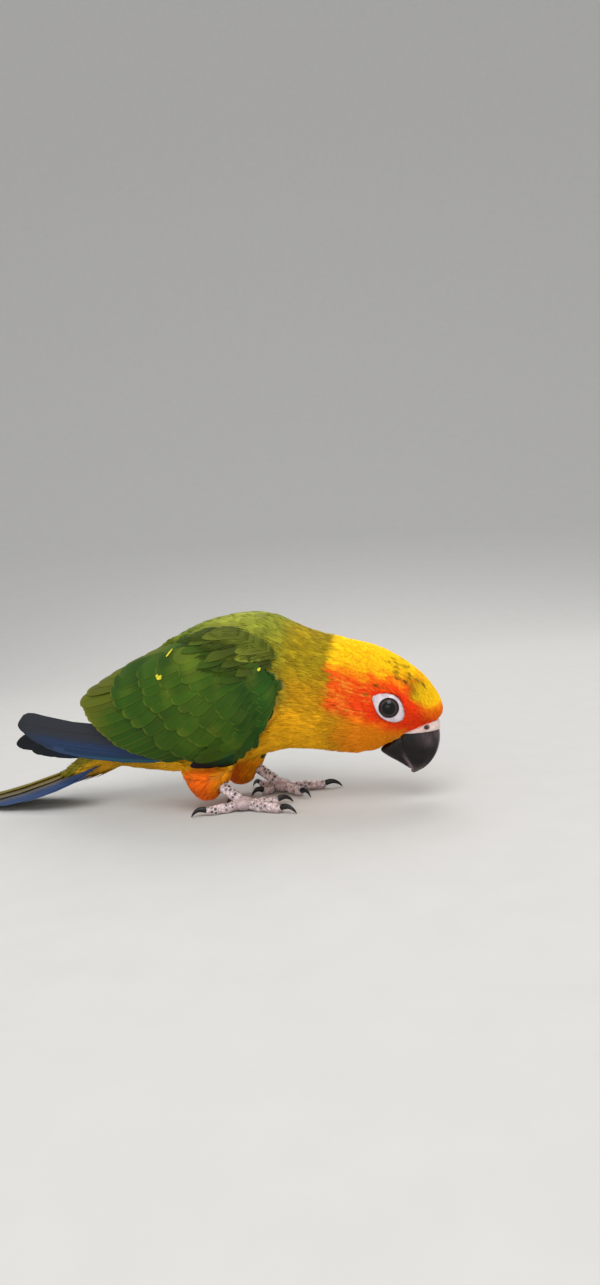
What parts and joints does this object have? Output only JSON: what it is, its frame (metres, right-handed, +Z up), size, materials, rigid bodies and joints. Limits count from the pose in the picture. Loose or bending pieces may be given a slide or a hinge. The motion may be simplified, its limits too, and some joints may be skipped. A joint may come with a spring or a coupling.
{
  "type": "sun conure",
  "caption": "Life-size standing parrot model with folded wings, head tipped down, hooked bill, perching feet and a long graduated tail laid on the floor.",
  "frame": {"origin": "middle of the bounding box at floor level, under the bird's belly", "axes": "+X towards the bill, along the bird from tail to head; +Y to the bird's left; +Z up"},
  "size_m": [0.2714, 0.0596, 0.0863],
  "materials": {
    "bill": "satin horn",
    "cere": "matte bare skin",
    "claw": "satin horn",
    "eye": "wet gloss, opaque",
    "eyelids": "matte bare skin",
    "head": "matte, soft feathering",
    "neck": "matte, soft feathering",
    "tail": "silky, slightly glossy feathers",
    "leg": "matte scaly skin",
    "thigh": "matte, fluffy feathering",
    "torso": "matte, soft feathering",
    "wing": "silky, slightly glossy feathers"
  },
  "bodies": {
    "root": {"bill_lower": "bill", "bill_upper": "bill", "cere": "cere", "claw_front_inner_left": "claw", "claw_front_inner_right": "claw", "claw_front_outer_left": "claw", "claw_front_outer_right": "claw", "claw_hind_inner_left": "claw", "claw_hind_inner_right": "claw", "claw_hind_outer_left": "claw", "claw_hind_outer_right": "claw", "eye_left": "eye", "eye_right": "eye", "eyelids_left": "eyelids", "eyelids_right": "eyelids", "head": "head", "neck": "neck", "tail": "tail", "tarsus_left": "leg", "tarsus_right": "leg", "thigh_left": "thigh", "thigh_right": "thigh", "toe_front_inner_left": "leg", "toe_front_inner_right": "leg", "toe_front_outer_left": "leg", "toe_front_outer_right": "leg", "toe_hind_inner_left": "leg", "toe_hind_inner_right": "leg", "toe_hind_outer_left": "leg", "toe_hind_outer_right": "leg", "torso": "torso", "wing_left": "wing", "wing_right": "wing"}
  },
  "joints": []
}
